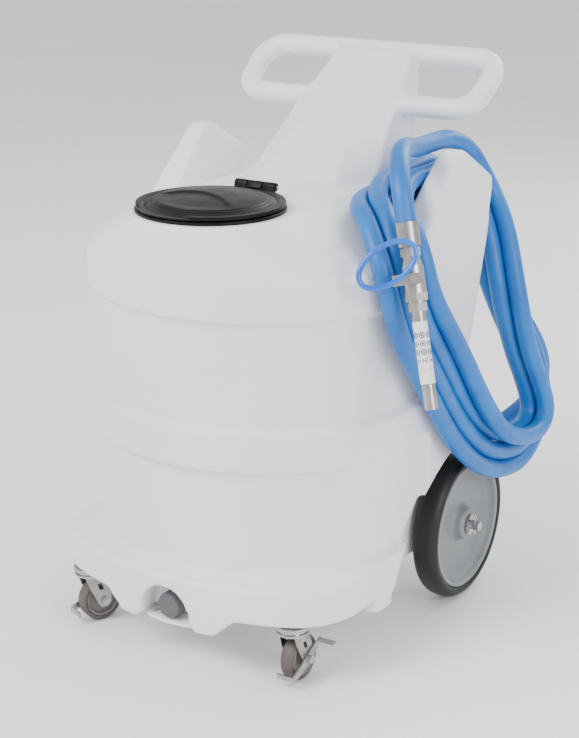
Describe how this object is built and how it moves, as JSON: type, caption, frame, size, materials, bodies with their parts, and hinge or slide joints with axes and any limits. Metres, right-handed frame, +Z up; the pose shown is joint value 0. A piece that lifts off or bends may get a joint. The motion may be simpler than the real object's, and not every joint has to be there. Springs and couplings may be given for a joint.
{
  "type": "wheeled liquid tank cart",
  "caption": "Upright moulded plastic tank on wheels with a hinged filler lid, T handle, hose horns, blue wound hose with shut-off valve and wand, front casters and large rear wheels.",
  "frame": {"origin": "on the floor under the middle of the cart's box, hose and wand left out", "axes": "+X towards the side that carries the hose, -Y towards the filler lid and casters, +Z up"},
  "size_m": [0.6925, 0.7712, 0.913],
  "materials": {
    "tank_plastic": "rotomoulded polyethylene, natural white, soft sheen",
    "lid_plastic": "black moulded plastic, satin",
    "seal_rubber": "black sealing rubber",
    "seal_plastic": "low-friction plastic",
    "drain_plastic": "grey moulded plastic",
    "brass_fitting": "machined brass",
    "steel_satin": "satin stainless steel",
    "steel_bright": "bright plated steel",
    "hose_rubber": "blue rubber hose with a wrapped cloth finish",
    "handle_vinyl": "dipped blue vinyl",
    "label_film": "white printed film",
    "hub_plastic": "grey moulded plastic",
    "tyre_rubber": "black solid rubber",
    "caster_plastic": "dark moulded plastic",
    "caster_rubber": "grey-brown non-marking rubber"
  },
  "bodies": {
    "tank": {"tank_base": "tank_plastic", "tank_wall": "tank_plastic", "tank_deck": "tank_plastic", "tank_handle": "tank_plastic", "lid_ring": "lid_plastic", "lid_hinge_pin": "steel_bright", "drain_spigot": "drain_plastic", "outlet_bushing": "brass_fitting", "outlet_gasket": "seal_rubber", "outlet_locknut": "brass_fitting", "hose_barb": "brass_fitting", "hose_clamp": "steel_bright", "hose_lead": "hose_rubber", "hose_coil": "hose_rubber", "hose_tail": "hose_rubber", "hose_ferrule": "steel_satin", "swivel_nut": "steel_satin", "valve_inlet": "steel_satin", "valve_body": "steel_satin", "valve_seats": "seal_plastic", "union_nut": "steel_satin", "reducer_nut": "steel_satin", "wand_tube": "steel_satin", "wand_label": "label_film", "rear_axle": "steel_bright", "axle_spacers": "steel_bright", "axle_washers": "steel_bright", "cotter_pins": "steel_bright", "caster_stem_left": "steel_satin", "caster_stem_right": "steel_satin"},
    "lid": {"lid_cover": "lid_plastic", "lid_gasket": "seal_rubber"},
    "drain_plug": {"drain_cap": "drain_plastic", "drain_washer": "seal_rubber"},
    "valve_lever": {"valve_ball": "steel_bright", "valve_handle": "steel_satin", "valve_handle_nut": "steel_bright", "valve_handle_grip": "handle_vinyl"},
    "rear_wheel_left": {"rear_wheel_hub_left": "hub_plastic", "rear_wheel_tyre_left": "tyre_rubber", "rear_wheel_bush_left": "seal_plastic"},
    "caster_yoke_left": {"caster_race_left": "steel_bright", "caster_fork_left": "steel_satin", "caster_bolt_left": "steel_bright", "caster_nut_left": "steel_bright"},
    "caster_wheel_left": {"caster_core_left": "caster_plastic", "caster_bush_left": "seal_plastic", "caster_tread_left": "caster_rubber"},
    "brake_lever_left": {"caster_brake_left": "steel_satin"},
    "rear_wheel_right": {"rear_wheel_hub_right": "hub_plastic", "rear_wheel_tyre_right": "tyre_rubber", "rear_wheel_bush_right": "seal_plastic"},
    "caster_yoke_right": {"caster_race_right": "steel_bright", "caster_fork_right": "steel_satin", "caster_bolt_right": "steel_bright", "caster_nut_right": "steel_bright"},
    "caster_wheel_right": {"caster_core_right": "caster_plastic", "caster_bush_right": "seal_plastic", "caster_tread_right": "caster_rubber"},
    "brake_lever_right": {"caster_brake_right": "steel_satin"}
  },
  "joints": [
    {"name": "lid_hinge", "type": "hinge", "parent": "tank", "child": "lid", "pos_m": [0, -0.07, 0.727], "axis": [-1, 0, 0], "range_deg": [0, 115]},
    {"name": "drain_cap_slide", "type": "slide", "parent": "tank", "child": "drain_plug", "axis": [0, -1, 0], "range_m": [0, 0.03]},
    {"name": "valve_turn", "type": "hinge", "parent": "tank", "child": "valve_lever", "pos_m": [0.32919, -0.14907, 0.63705], "axis": [0.487, -0.8303, 0.2709], "range_deg": [0, 90]},
    {"name": "rear_wheel_spin_left", "type": "hinge", "parent": "tank", "child": "rear_wheel_left", "pos_m": [-0.261, 0.156, 0.13], "axis": [1, 0, 0], "continuous": true},
    {"name": "caster_swivel_left", "type": "hinge", "parent": "tank", "child": "caster_yoke_left", "pos_m": [-0.2, -0.276, 0], "axis": [0, 0, 1], "continuous": true},
    {"name": "caster_spin_left", "type": "hinge", "parent": "caster_yoke_left", "child": "caster_wheel_left", "pos_m": [-0.19326, -0.25931, 0.0375], "axis": [-0.9272, 0.3746, 0], "continuous": true},
    {"name": "brake_press_left", "type": "hinge", "parent": "caster_yoke_left", "child": "brake_lever_left", "pos_m": [-0.19326, -0.25931, 0.0375], "axis": [-0.9272, 0.3746, 0], "range_deg": [0, 20]},
    {"name": "rear_wheel_spin_right", "type": "hinge", "parent": "tank", "child": "rear_wheel_right", "pos_m": [0.261, 0.156, 0.13], "axis": [1, 0, 0], "continuous": true},
    {"name": "caster_swivel_right", "type": "hinge", "parent": "tank", "child": "caster_yoke_right", "pos_m": [0.2, -0.276, 0], "axis": [0, 0, 1], "continuous": true},
    {"name": "caster_spin_right", "type": "hinge", "parent": "caster_yoke_right", "child": "caster_wheel_right", "pos_m": [0.2, -0.258, 0.0375], "axis": [1, 0, 0], "continuous": true},
    {"name": "brake_press_right", "type": "hinge", "parent": "caster_yoke_right", "child": "brake_lever_right", "pos_m": [0.2, -0.258, 0.0375], "axis": [-1, 0, 0], "range_deg": [0, 20]}
  ]
}
